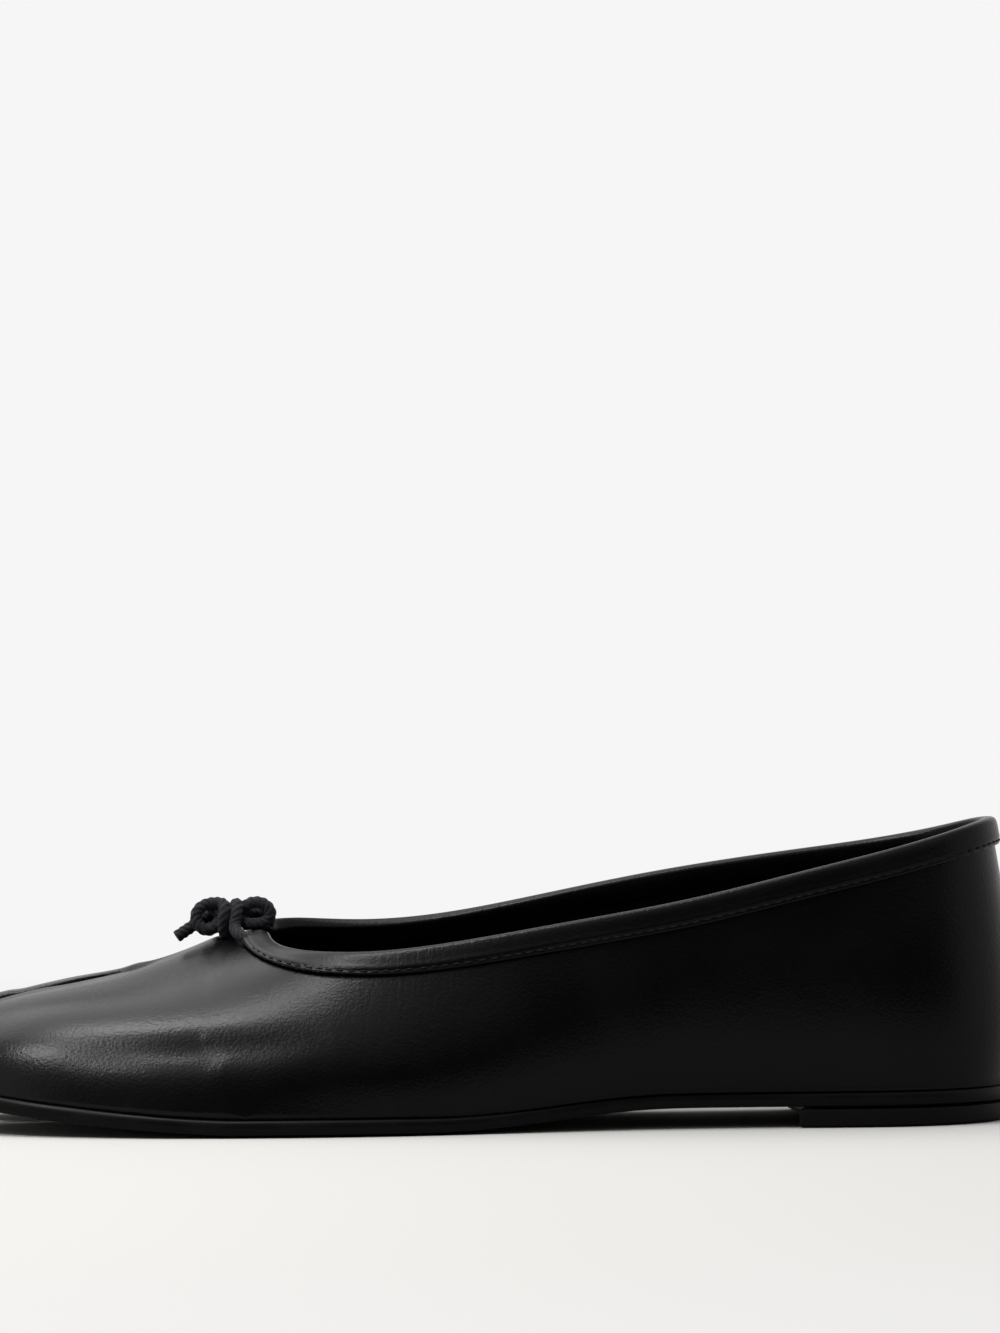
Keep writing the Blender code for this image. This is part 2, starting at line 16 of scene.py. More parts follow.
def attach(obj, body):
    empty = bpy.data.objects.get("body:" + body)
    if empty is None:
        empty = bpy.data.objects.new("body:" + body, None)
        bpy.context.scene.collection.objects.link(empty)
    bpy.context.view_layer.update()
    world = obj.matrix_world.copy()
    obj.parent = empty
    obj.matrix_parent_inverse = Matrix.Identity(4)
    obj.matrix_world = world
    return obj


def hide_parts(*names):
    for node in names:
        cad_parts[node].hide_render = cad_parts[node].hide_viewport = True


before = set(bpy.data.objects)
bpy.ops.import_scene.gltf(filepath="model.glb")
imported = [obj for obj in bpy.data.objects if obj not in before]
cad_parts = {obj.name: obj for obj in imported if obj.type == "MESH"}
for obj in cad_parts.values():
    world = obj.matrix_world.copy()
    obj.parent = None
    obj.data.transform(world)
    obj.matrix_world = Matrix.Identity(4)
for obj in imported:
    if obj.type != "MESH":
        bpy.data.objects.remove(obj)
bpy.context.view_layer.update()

# --- Camera -----------------------------------------------------------------------------
# The shoe is seen from its outer side with a long lens, level and a little above the
# collar, and the picture leans by half a degree.
CAMERA_PLACE = (0.0074, -1.150, 0.1019)
CAMERA_LENS = 138.2
CAMERA_LEAN = math.radians(-0.5)

camera_data = bpy.data.cameras.new("camera")
camera_data.lens = CAMERA_LENS
camera = bpy.data.objects.new("camera", camera_data)
level_view = Matrix.Rotation(math.radians(90), 4, "X") @ Matrix.Rotation(CAMERA_LEAN, 4, "Z")
camera.matrix_world = Matrix.Translation(CAMERA_PLACE) @ level_view
bpy.context.collection.objects.link(camera)
bpy.context.scene.camera = camera

# --- Studio -----------------------------------------------------------------------------
# A white room with a pale floor that runs into it, one large softbox overhead, two small hot
# ones at the toe, and a graded card behind the camera that keeps the outer side black.
MM = 0.001
ROOM_WHITE = "#f6f6f6"
FLOOR_WHITE = "#a1a09e"
FLOOR_RADIUS = 9.0
FLOOR_SIDES = 96
FLOOR_SINK = 0.2 * MM
FLOOR_FADES = (0.16, 0.62)
CARD_PLACE = (0.8, -1.9, 1.75)
CARD_SIZE = (5.2, 3.5)
CARD_DARK_BELOW = 0.5
CARD_GLOW = (0.03, 2.2)
# name: (place, aimed at, width, height, watts)
SOFTBOXES = {
    "softbox_overhead": ((-0.42, 0.30, 1.20), (-0.03, 0.0, 0.03), 1.1, 1.3, 14.5),
    "softbox_over_toe": ((-0.32, -0.16, 1.05), (-0.07, 0.0, 0.02), 0.29, 0.29, 6.5),
    "softbox_toe_side": ((-0.67, -0.50, 0.90), (-0.10, -0.02, 0.02), 0.28, 0.28, 9.0),
}


def linear(hex_colour):
    """sRGB hex to the linear RGBA that Blender's sockets take."""
    parts = [int(hex_colour[i : i + 2], 16) / 255 for i in (1, 3, 5)]
    return (*(c / 12.92 if c <= 0.04045 else ((c + 0.055) / 1.055) ** 2.4 for c in parts), 1.0)


def add_node(tree, kind, inputs=None, **settings):
    """A new node with its settings; inputs holds values, or outputs to link from."""
    node = tree.nodes.new(kind)
    for name, value in settings.items():
        setattr(node, name, value)
    for socket, value in (inputs or {}).items():
        if isinstance(value, bpy.types.NodeSocket):
            tree.links.new(value, node.inputs[socket])
        else:
            node.inputs[socket].default_value = value
    return node


def new_material(name):
    """An empty node material and its tree, to be filled by its section."""
    material = bpy.data.materials.new(name)
    material.use_nodes = True
    material.node_tree.nodes.clear()
    return material, material.node_tree


world = bpy.data.worlds.new("white_room")
world.use_nodes = True
world.node_tree.nodes["Background"].inputs["Color"].default_value = linear(ROOM_WHITE)
bpy.context.scene.world = world
bpy.context.scene.view_settings.view_transform = "Standard"

# Matt paper: a pale floor that takes a soft shadow and fades into the white room
floor_paint, tree = new_material("floor_paper")
coords = add_node(tree, "ShaderNodeTexCoord")
reach = add_node(tree, "ShaderNodeVectorMath", {0: coords.outputs["Object"]}, operation="LENGTH")
fade = add_node(
    tree,
    "ShaderNodeMapRange",
    {"Value": reach.outputs["Value"], "From Min": FLOOR_FADES[0], "From Max": FLOOR_FADES[1]},
    interpolation_type="SMOOTHSTEP",
)
paper = add_node(tree, "ShaderNodeBsdfDiffuse", {"Color": linear(FLOOR_WHITE)})
glow = add_node(tree, "ShaderNodeEmission", {"Color": linear(ROOM_WHITE)})
sweep = add_node(
    tree,
    "ShaderNodeMixShader",
    {0: fade.outputs[0], 1: paper.outputs[0], 2: glow.outputs[0]},
)
add_node(tree, "ShaderNodeOutputMaterial", {"Surface": sweep.outputs[0]})

bm = bmesh.new()
bmesh.ops.create_circle(bm, cap_ends=True, radius=FLOOR_RADIUS, segments=FLOOR_SIDES)
bmesh.ops.translate(bm, verts=bm.verts, vec=(0, 0, -FLOOR_SINK))
floor_mesh = bpy.data.meshes.new("floor")
bm.to_mesh(floor_mesh)
bm.free()
floor_mesh.materials.append(floor_paint)
floor = bpy.data.objects.new("floor", floor_mesh)
bpy.context.collection.objects.link(floor)

# Graded card: dark at the bottom and bright at the top, seen in the leather alone
card_paint, tree = new_material("graded_card")
coords = add_node(tree, "ShaderNodeTexCoord")
split = add_node(tree, "ShaderNodeSeparateXYZ", {"Vector": coords.outputs["Object"]})
grade = add_node(
    tree,
    "ShaderNodeMapRange",
    {
        "Value": split.outputs["Z"],
        "From Min": CARD_DARK_BELOW,
        "From Max": CARD_PLACE[2] + CARD_SIZE[1] / 2,
        "To Min": CARD_GLOW[0],
        "To Max": CARD_GLOW[1],
    },
)
glow = add_node(
    tree,
    "ShaderNodeEmission",
    {"Color": linear(ROOM_WHITE), "Strength": grade.outputs["Result"]},
)
add_node(tree, "ShaderNodeOutputMaterial", {"Surface": glow.outputs[0]})

bm = bmesh.new()
bmesh.ops.create_grid(bm, x_segments=1, y_segments=1, size=0.5)
bmesh.ops.scale(bm, verts=bm.verts, vec=(*CARD_SIZE, 1))
bmesh.ops.rotate(bm, verts=bm.verts, matrix=Matrix.Rotation(math.radians(90), 3, "X"))
bmesh.ops.translate(bm, verts=bm.verts, vec=CARD_PLACE)
card_mesh = bpy.data.meshes.new("graded_card")
bm.to_mesh(card_mesh)
bm.free()
card_mesh.materials.append(card_paint)
card = bpy.data.objects.new("graded_card", card_mesh)
card.visible_camera = False
bpy.context.collection.objects.link(card)

for name, (place, target, width, height, watts) in SOFTBOXES.items():
    light = bpy.data.lights.new(name, "AREA")
    light.shape = "RECTANGLE"
    light.size, light.size_y = width, height
    light.energy = watts
    softbox = bpy.data.objects.new(name, light)
    softbox.location = place
    softbox.rotation_euler = (Vector(target) - Vector(place)).to_track_quat("-Z", "Y").to_euler()
    bpy.context.collection.objects.link(softbox)

# --- Outsole ----------------------------------------------------------------------------
# A thin leather sole cut to the last's outline with a notch between the toes. Its edge is
# rounded, dyed black and waxed, and it is cemented under the lasted upper.
SOLE_BLACK = "#040404"
SOLE_SCUFF = "#0c0b0b"
SOLE_GRAIN = 0.8 * MM
SOLE_GRAIN_DEEP = 0.03 * MM
SOLE_SCUFF_SIZE = 14 * MM
MERGE_WITHIN = 0.001 * MM
JOIN_FLATNESS = math.radians(35)
JOIN_SHAPE = math.radians(50)


def merged_copy(node):
    """A bmesh of a CAD node with its loose triangles merged into a skin of quads."""
    bm = bmesh.new()
    bm.from_mesh(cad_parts[node].data)
    bmesh.ops.remove_doubles(bm, verts=bm.verts, dist=MERGE_WITHIN)
    bmesh.ops.join_triangles(
        bm,
        faces=bm.faces,
        angle_face_threshold=JOIN_FLATNESS,
        angle_shape_threshold=JOIN_SHAPE,
    )
    return bm


def bake(piece):
    """Turn a piece's modifiers into its mesh, shaded smooth."""
    coarse = piece.data
    evaluated = piece.evaluated_get(bpy.context.evaluated_depsgraph_get())
    fine = bpy.data.meshes.new_from_object(evaluated)
    piece.modifiers.clear()
    piece.data = fine
    bpy.data.meshes.remove(coarse)
    fine.name = piece.name
    fine.shade_smooth()


def soft_piece(bm, name, levels):
    """Subdivide a bmesh smoothly into the mesh of a new piece."""
    coarse = bpy.data.meshes.new(name)
    bm.to_mesh(coarse)
    bm.free()
    piece = bpy.data.objects.new(name, coarse)
    bpy.context.collection.objects.link(piece)
    subsurf = piece.modifiers.new("rounding", "SUBSURF")
    subsurf.levels = subsurf.render_levels = levels
    bake(piece)
    return piece


# Dyed sole leather: near black, with dull scuffs that break up the waxed edge's shine
sole_leather, tree = new_material("sole_leather_dyed_black")
coords = add_node(tree, "ShaderNodeTexCoord")
grain = add_node(
    tree,
    "ShaderNodeTexNoise",
    {"Vector": coords.outputs["Object"], "Scale": 1 / SOLE_GRAIN, "Detail": 4.0},
)
scuffs = add_node(
    tree,
    "ShaderNodeTexNoise",
    {
        "Vector": coords.outputs["Object"],
        "Scale": 1 / SOLE_SCUFF_SIZE,
        "Detail": 6.0,
        "Roughness": 0.7,
    },
)
colour = add_node(tree, "ShaderNodeValToRGB", {"Fac": scuffs.outputs["Fac"]})
colour.color_ramp.elements[0].position = 0.5
colour.color_ramp.elements[0].color = linear(SOLE_BLACK)
colour.color_ramp.elements[1].position = 0.8
colour.color_ramp.elements[1].color = linear(SOLE_SCUFF)
gloss = add_node(
    tree,
    "ShaderNodeMapRange",
    {
        "Value": scuffs.outputs["Fac"],
        "From Min": 0.3,
        "From Max": 0.8,
        "To Min": 0.3,
        "To Max": 0.55,
    },
)
bump = add_node(
    tree,
    "ShaderNodeBump",
    {"Height": grain.outputs["Fac"], "Strength": 0.5, "Distance": SOLE_GRAIN_DEEP},
)
shader = add_node(
    tree,
    "ShaderNodeBsdfPrincipled",
    {
        "Base Color": colour.outputs["Color"],
        "Roughness": gloss.outputs["Result"],
        "IOR": 1.17,
        "Normal": bump.outputs["Normal"],
    },
)
add_node(tree, "ShaderNodeOutputMaterial", {"Surface": shader.outputs["BSDF"]})

outsole = soft_piece(merged_copy("outsole"), "outsole_dressed", 2)
outsole.data.materials.append(sole_leather)
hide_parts("outsole")
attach(outsole, "root")

# --- Heel lift --------------------------------------------------------------------------
# One low lift of hard black rubber, cut to the seat of the sole, hollowed at its breast and
# cemented on. Its edges are lightly sanded.
LIFT_BLACK = "#050505"
LIFT_GRIT = 0.5 * MM
LIFT_GRIT_DEEP = 0.04 * MM
LIFT_EDGE = 0.35 * MM
LIFT_SHARP = math.radians(40)
LIFT_SMOOTH = math.radians(30)

# Sanded rubber: an even dull black with fine grit and no clear highlight
lift_rubber, tree = new_material("heel_rubber_sanded")
coords = add_node(tree, "ShaderNodeTexCoord")
grit = add_node(
    tree,
    "ShaderNodeTexNoise",
    {"Vector": coords.outputs["Object"], "Scale": 1 / LIFT_GRIT, "Detail": 3.0},
)
gloss = add_node(
    tree,
    "ShaderNodeMapRange",
    {"Value": grit.outputs["Fac"], "To Min": 0.45, "To Max": 0.65},
)
bump = add_node(
    tree,
    "ShaderNodeBump",
    {"Height": grit.outputs["Fac"], "Strength": 0.6, "Distance": LIFT_GRIT_DEEP},
)
shader = add_node(
    tree,
    "ShaderNodeBsdfPrincipled",
    {
        "Base Color": linear(LIFT_BLACK),
        "Roughness": gloss.outputs["Result"],
        "IOR": 1.18,
        "Normal": bump.outputs["Normal"],
    },
)
add_node(tree, "ShaderNodeOutputMaterial", {"Surface": shader.outputs["BSDF"]})

bm = merged_copy("heel")
sharp = [e for e in bm.edges if e.is_manifold and e.calc_face_angle() > LIFT_SHARP]
bmesh.ops.bevel(
    bm,
    geom=sharp,
    offset=LIFT_EDGE,
    affect="EDGES",
    segments=2,
    profile=0.5,
    material=-1,
    clamp_overlap=True,
)
heel_mesh = bpy.data.meshes.new("heel_dressed")
bm.to_mesh(heel_mesh)
bm.free()
heel_mesh.shade_smooth()
heel_mesh.set_sharp_from_angle(angle=LIFT_SMOOTH)
heel_mesh.materials.append(lift_rubber)
heel = bpy.data.objects.new("heel_dressed", heel_mesh)
bpy.context.collection.objects.link(heel)
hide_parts("heel")
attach(heel, "root")

# --- Insole -----------------------------------------------------------------------------
# A sock of thin dark lining leather, glued over the inside of the sole from toe to heel.
SOCK_BLACK = "#0a0a0a"
SOCK_WORN = "#11100f"
SOCK_GRAIN = 0.9 * MM
SOCK_GRAIN_DEEP = 0.05 * MM
SOCK_WEAR_SIZE = 30 * MM
# The sock runs out to the upper's wall, looked for a little above it, and into it by the tuck;
# where no wall is found it runs out by the reach
SOCK_REACH = 1.1 * MM
SOCK_TUCK = 0.4 * MM
WALL_ABOVE = Vector((0, 0, 1 * MM))
WALL_WITHIN = 4 * MM

# Matt sock leather: a soft dull black, a shade lighter where a foot wears it
sock_leather, tree = new_material("sock_leather_matt")
coords = add_node(tree, "ShaderNodeTexCoord")
pores = add_node(
    tree,
    "ShaderNodeTexVoronoi",
    {"Vector": coords.outputs["Object"], "Scale": 1 / SOCK_GRAIN},
    feature="DISTANCE_TO_EDGE",
)
wear = add_node(
    tree,
    "ShaderNodeTexNoise",
    {"Vector": coords.outputs["Object"], "Scale": 1 / SOCK_WEAR_SIZE, "Detail": 3.0},
)
colour = add_node(tree, "ShaderNodeValToRGB", {"Fac": wear.outputs["Fac"]})
colour.color_ramp.elements[0].position = 0.4
colour.color_ramp.elements[0].color = linear(SOCK_BLACK)
colour.color_ramp.elements[1].position = 0.75
colour.color_ramp.elements[1].color = linear(SOCK_WORN)
bump = add_node(
    tree,
    "ShaderNodeBump",
    {"Height": pores.outputs["Distance"], "Strength": 0.4, "Distance": SOCK_GRAIN_DEEP},
)
shader = add_node(
    tree,
    "ShaderNodeBsdfPrincipled",
    {
        "Base Color": colour.outputs["Color"],
        "Roughness": 0.65,
        "IOR": 1.3,
        "Normal": bump.outputs["Normal"],
    },
)
add_node(tree, "ShaderNodeOutputMaterial", {"Surface": shader.outputs["BSDF"]})

insole = soft_piece(merged_copy("insole"), "insole_dressed", 2)
upper_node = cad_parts["upper"].data
wall = BVHTree.FromPolygons(
    [v.co for v in upper_node.vertices], [p.vertices for p in upper_node.polygons]
)
normals = [vertex.normal.copy() for vertex in insole.data.vertices]
for vertex, normal in zip(insole.data.vertices, normals):
    outward = Vector((normal.x, normal.y, 0))
    _, _, _, gap = wall.ray_cast(vertex.co + WALL_ABOVE, outward, WALL_WITHIN)
    vertex.co += outward * (SOCK_REACH if gap is None else gap + SOCK_TUCK)
insole.data.materials.append(sock_leather)
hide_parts("insole")
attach(insole, "root")

# --- Upper ------------------------------------------------------------------------------
# One piece of smooth black calf, lined with thin leather, wet-lasted over a split-toe last
# and turned under at the sole. It flexes behind the ball, where fine creases cross it.
CALF_BLACK = "#020203"
CALF_HAZE = "#040405"
CALF_PORES = 0.7 * MM
CALF_PORES_DEEP = 0.08 * MM
CALF_CREASE = 1.3 * MM
CALF_CREASE_DEEP = 0.09 * MM
CALF_CREASE_LIE = (1.0, 0.35, 0.12)
CALF_HAZE_SIZE = 18 * MM
CALF_IOR = (1.19, 1.24)
POLISH_FROM = -35 * MM
POLISH_FULL = -72 * MM
FLEX_FROM = -32 * MM
FLEX_TO = 8 * MM
FLEX_FADES = (14 * MM, 16 * MM)
LINING_BLACK = "#020202"
LINING_GRAIN = 0.8 * MM
LINING_GRAIN_DEEP = 0.05 * MM
RIM_CREASE = 0.7
# The lower rim, whose faces look down below this height, reaches down on to the sole
RIM_REACH = 0.75 * MM
RIM_BELOW = 14 * MM
RIM_LOOKS = -0.7
SKIN_ANGLE = math.radians(50)
LIP_ANGLE = math.radians(35)
# Where the skin's narrow triangles lie, and how often it is evened out before and after it is
# subdivided; the second time it is left alone near the slit
SLIVERS_X = (-60 * MM, -47 * MM)
SLIVERS_Y = 8 * MM
LASTING_ROUNDS = 20
LASTING_PULLS = (0.5, -0.53)
SKIN_ROUNDS = 30
SLIT_END_X = -74.6 * MM
SKIN_FROM_SLIT = (3.5 * MM, 8.0 * MM)
CURVE_PARTS = 40
FALL_STEP = 0.5
TROUGH_STEP = 0.5 * MM
DRAWING_SHIFT = Vector((-121.6, 0.1, 0.0))
# How far the toe's top falls below the drawn last, so that the big toe's lip shows over the
# other lip: (x from the toe, crest over the small toes, their lip, the big toe), millimetres
TOE_FALL = (
    (2.5, 0.0, 0.0, 0.0), (8.0, 0.9, 0.2, -0.2), (16.0, 1.5, 0.3, -0.3), (20.0, 1.6, 0.45, 0.1),
    (25.0, 1.7, 0.6, 0.0), (32.0, 1.8, 0.9, -0.1), (40.0, 1.7, 1.2, 0.3), (46.0, 1.4, 1.4, 0.6),
    (52.0, 0.9, 0.9, 0.6), (58.0, 0.4, 0.4, 0.3), (64.0, 0.0, 0.0, 0.0),
)
SLIT_MIDDLE_Y = 7.3 * MM
LIP_Y = 5.5 * MM
LIP_WIDE = 3.5 * MM
FALL_FROM_Y = -26 * MM
FALL_FULL_Y = -6 * MM
FALL_FROM_Z = 11 * MM
FALL_FULL_Z = 21 * MM
# A long soft trough on the outer side of the toe, in the drawing's millimetres
TOE_TROUGH = (
    (31.0, -28.4, 17.6), (38.7, -30.2, 18.1), (46.0, -31.2, 18.3), (55.6, -32.2, 18.5),
    (67.5, -33.4, 19.1), (76.0, -34.0, 19.5), (92.0, -34.9, 20.3),
)
TROUGH_DEEP = 0.95 * MM
TROUGH_WIDE = 3.7 * MM
# The vamp swells up under the bow, and the big toe's lip ends in a small nub:
# place, reach along and across, and height
SWELLS = (
    ((66.0, 8.0), (6.5, 9.0), 1.3 * MM),
    ((46.0, 10.0), (2.6, 3.0), 0.45 * MM),
)

# Polished calf: deep black with soft satin highlights, finely pored, glossiest at the toe
calf, tree = new_material("calf_leather_polished")
coords = add_node(tree, "ShaderNodeTexCoord")
pores = add_node(
    tree,
    "ShaderNodeTexNoise",
    {"Vector": coords.outputs["Object"], "Scale": 1 / CALF_PORES, "Detail": 3.0, "Roughness": 0.6},
)
upright = add_node(
    tree,
    "ShaderNodeMapping",
    {"Vector": coords.outputs["Object"], "Scale": CALF_CREASE_LIE},
)
creases = add_node(
    tree,
    "ShaderNodeTexNoise",
    {"Vector": upright.outputs["Vector"], "Scale": 1 / CALF_CREASE, "Detail": 2.0},
)
split = add_node(tree, "ShaderNodeSeparateXYZ", {"Vector": coords.outputs["Object"]})
ahead = add_node(
    tree,
    "ShaderNodeMapRange",
    {"Value": split.outputs["X"], "From Min": FLEX_FROM, "From Max": FLEX_FROM + FLEX_FADES[0]},
    interpolation_type="SMOOTHSTEP",
)
behind = add_node(
    tree,
    "ShaderNodeMapRange",
    {"Value": split.outputs["X"], "From Min": FLEX_TO + FLEX_FADES[1], "From Max": FLEX_TO},
    interpolation_type="SMOOTHSTEP",
)
flex = add_node(
    tree,
    "ShaderNodeMath",
    {0: ahead.outputs["Result"], 1: behind.outputs["Result"]},
    operation="MULTIPLY",
)
haze = add_node(
    tree,
    "ShaderNodeTexNoise",
    {"Vector": coords.outputs["Object"], "Scale": 1 / CALF_HAZE_SIZE, "Detail": 3.0},
)
colour = add_node(tree, "ShaderNodeValToRGB", {"Fac": haze.outputs["Fac"]})
colour.color_ramp.elements[0].position = 0.35
colour.color_ramp.elements[0].color = linear(CALF_BLACK)
colour.color_ramp.elements[1].position = 0.75
colour.color_ramp.elements[1].color = linear(CALF_HAZE)
gloss = add_node(
    tree,
    "ShaderNodeMapRange",
    {
        "Value": haze.outputs["Fac"],
        "From Min": 0.3,
        "From Max": 0.7,
        "To Min": 0.24,
        "To Max": 0.29,
    },
)
polish = add_node(
    tree,
    "ShaderNodeMapRange",
    {
        "Value": split.outputs["X"],
        "From Min": POLISH_FROM,
        "From Max": POLISH_FULL,
        "To Min": CALF_IOR[0],
        "To Max": CALF_IOR[1],
    },
    interpolation_type="SMOOTHSTEP",
)
crease_bump = add_node(
    tree,
    "ShaderNodeBump",
    {
        "Height": creases.outputs["Fac"],
        "Strength": flex.outputs["Value"],
        "Distance": CALF_CREASE_DEEP,
    },
)
bump = add_node(
    tree,
    "ShaderNodeBump",
    {
        "Height": pores.outputs["Fac"],
        "Strength": 1.0,
        "Distance": CALF_PORES_DEEP,
        "Normal": crease_bump.outputs["Normal"],
    },
)
shader = add_node(
    tree,
    "ShaderNodeBsdfPrincipled",
    {
        "Base Color": colour.outputs["Color"],
        "Roughness": gloss.outputs["Result"],
        "IOR": polish.outputs["Result"],
        "Normal": bump.outputs["Normal"],
    },
)
add_node(tree, "ShaderNodeOutputMaterial", {"Surface": shader.outputs["BSDF"]})

# Matt lining leather: it takes up the light, so the inside reads as a dark hollow
lining, tree = new_material("lining_leather_matt")
coords = add_node(tree, "ShaderNodeTexCoord")
pores = add_node(
    tree,
    "ShaderNodeTexVoronoi",
    {"Vector": coords.outputs["Object"], "Scale": 1 / LINING_GRAIN},
    feature="DISTANCE_TO_EDGE",
)
bump = add_node(
    tree,
    "ShaderNodeBump",
    {"Height": pores.outputs["Distance"], "Strength": 0.3, "Distance": LINING_GRAIN_DEEP},
)
shader = add_node(
    tree,
    "ShaderNodeBsdfPrincipled",
    {
        "Base Color": linear(LINING_BLACK),
        "Roughness": 0.55,
        "IOR": 1.15,
        "Normal": bump.outputs["Normal"],
    },
)
add_node(tree, "ShaderNodeOutputMaterial", {"Surface": shader.outputs["BSDF"]})


def outer_skin(bm):
    """Faces on the outside of the upper, reached from its outermost wall without crossing a rim."""
    seed = min(bm.faces, key=lambda face: face.calc_center_median().y)
    skin, front = {seed}, [seed]
    while front:
        for edge in front.pop().edges:
            if len(edge.link_faces) == 2 and edge.calc_face_angle() < SKIN_ANGLE:
                for face in edge.link_faces:
                    if face not in skin:
                        skin.add(face)
                        front.append(face)
    return skin


def close_slivers(bm, skin):
    """Merge away the column of narrow triangles where the drawn toe meets the drawn vamp."""
    short = []
    for face in skin:
        middle = face.calc_center_median()
        if len(face.verts) == 3 and SLIVERS_X[0] < middle.x < SLIVERS_X[1] and middle.y < SLIVERS_Y:
            short.append(min(face.edges, key=lambda edge: edge.calc_length()))
    bmesh.ops.collapse(bm, edges=[edge for edge in short if skin.issuperset(edge.link_faces)])


def work_smooth(bm, skin):
    """Even out the skin as lasting does, without shrinking it, away from rims and lips."""
    held = {v for e in bm.edges if e.calc_face_angle() > LIP_ANGLE for v in e.verts}
    free = [v for v in bm.verts if v not in held and skin.issuperset(v.link_faces)]
    for _ in range(LASTING_ROUNDS):
        for pull in LASTING_PULLS:
            middles = [
                sum((e.other_vert(v).co for e in v.link_edges), Vector()) / len(v.link_edges)
                for v in free
            ]
            for vertex, middle in zip(free, middles):
                vertex.co = vertex.co.lerp(middle, pull)


def in_place(point):
    """A point of the drawing, in millimetres, in the model's frame."""
    return (Vector(point) + DRAWING_SHIFT) * MM


def smooth_line(points, step):
    """Points every step along a smooth curve through the given ones."""
    points = [2 * points[0] - points[1], *points, 2 * points[-1] - points[-2]]
    fine = []
    for a, b, c, d in zip(points, points[1:], points[2:], points[3:]):
        square = 2 * a - 5 * b + 4 * c - d
        cube = 3 * b - a - 3 * c + d
        for i in range(CURVE_PARTS):
            t = i / CURVE_PARTS
            fine.append(0.5 * (2 * b + (c - a) * t + square * t**2 + cube * t**3))
    fine.append(points[-2])
    line, walked = [fine[0]], 0.0
    for a, b in zip(fine, fine[1:]):
        walked += (b - a).length
        if walked >= step:
            line.append(b)
            walked -= step
    return line


def eased(low, high, value):
    """0 below low, 1 above high, smooth between them."""
    t = min(1.0, max(0.0, (value - low) / (high - low)))
    return t * t * (3 - 2 * t)


def toe_fall(place, table):
    """How far a point of the upper lies below the drawn last."""
    x = place.x / MM - DRAWING_SHIFT.x
    if not table[0][0] < x < table[-1][0]:
        return 0.0
    after = next(i for i, row in enumerate(table) if row[0] > x)
    (x0, *low), (x1, *high) = table[after - 1], table[after]
    crest, lip, big_toe = (a + (b - a) * (x - x0) / (x1 - x0) for a, b in zip(low, high))
    if place.y > SLIT_MIDDLE_Y:
        fall = big_toe
    else:
        at_lip = math.exp(-(((place.y - LIP_Y) / LIP_WIDE) ** 2))
        fall = (crest + (lip - crest) * at_lip) * eased(FALL_FROM_Y, FALL_FULL_Y, place.y)
    return fall * MM * eased(FALL_FROM_Z, FALL_FULL_Z, place.z)


def swell(place):
    """How far a point of the upper lies above the drawn last."""
    rise = 0.0
    for (x, y), (long, wide), height in SWELLS:
        along = (place.x / MM - DRAWING_SHIFT.x - x) / long
        across = (place.y / MM - DRAWING_SHIFT.y - y) / wide
        rise += height * math.exp(-(along**2) - across**2)
    return rise * eased(FALL_FROM_Z, FALL_FULL_Z, place.z)


bm = merged_copy("upper")
close_slivers(bm, outer_skin(bm))
outside = outer_skin(bm)
work_smooth(bm, outside)
crease = bm.edges.layers.float.new("crease_edge")
for edge in bm.edges:
    if len(edge.link_faces) == 2 and len(outside.intersection(edge.link_faces)) == 1:
        edge[crease] = RIM_CREASE
for face in bm.faces:
    face.material_index = 0 if face in outside else 1
underside = [f for f in bm.faces if f.normal.z < RIM_LOOKS and f.calc_center_median().z < RIM_BELOW]
for vertex in {v for f in underside if f not in outside for v in f.verts}:
    vertex.co.z -= RIM_REACH
upper = soft_piece(bm, "upper_dressed", 2)
rims = {i for face in upper.data.polygons if face.material_index == 1 for i in face.vertices}
skin = upper.vertex_groups.new(name="skin")
for vertex in upper.data.vertices:
    if vertex.index not in rims:
        off_slit = math.hypot(max(0.0, vertex.co.x - SLIT_END_X), vertex.co.y - SLIT_MIDDLE_Y)
        skin.add([vertex.index], eased(*SKIN_FROM_SLIT, off_slit), "REPLACE")
evening = upper.modifiers.new("evening", "SMOOTH")
evening.iterations = SKIN_ROUNDS
evening.vertex_group = skin.name
bake(upper)
upper.vertex_groups.clear()

fall_table = [tuple(row) for row in smooth_line([Vector(row) for row in TOE_FALL], FALL_STEP)]
trough = smooth_line([in_place(p) for p in TOE_TROUGH], TROUGH_STEP)
trough_points = KDTree(len(trough))
for i, point in enumerate(trough):
    trough_points.insert(point, i)
trough_points.balance()
normals = [vertex.normal.copy() for vertex in upper.data.vertices]
for vertex, normal in zip(upper.data.vertices, normals):
    _, i, away = trough_points.find(vertex.co)
    taper = math.sin(math.pi * i / (len(trough) - 1))
    dip = TROUGH_DEEP * taper * math.exp(-((away / TROUGH_WIDE) ** 2))
    vertex.co.z += swell(vertex.co) - toe_fall(vertex.co, fall_table)
    vertex.co -= normal * math.copysign(dip, -normal.y)
upper.data.materials.append(calf)
upper.data.materials.append(lining)
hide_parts("upper")
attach(upper, "root")

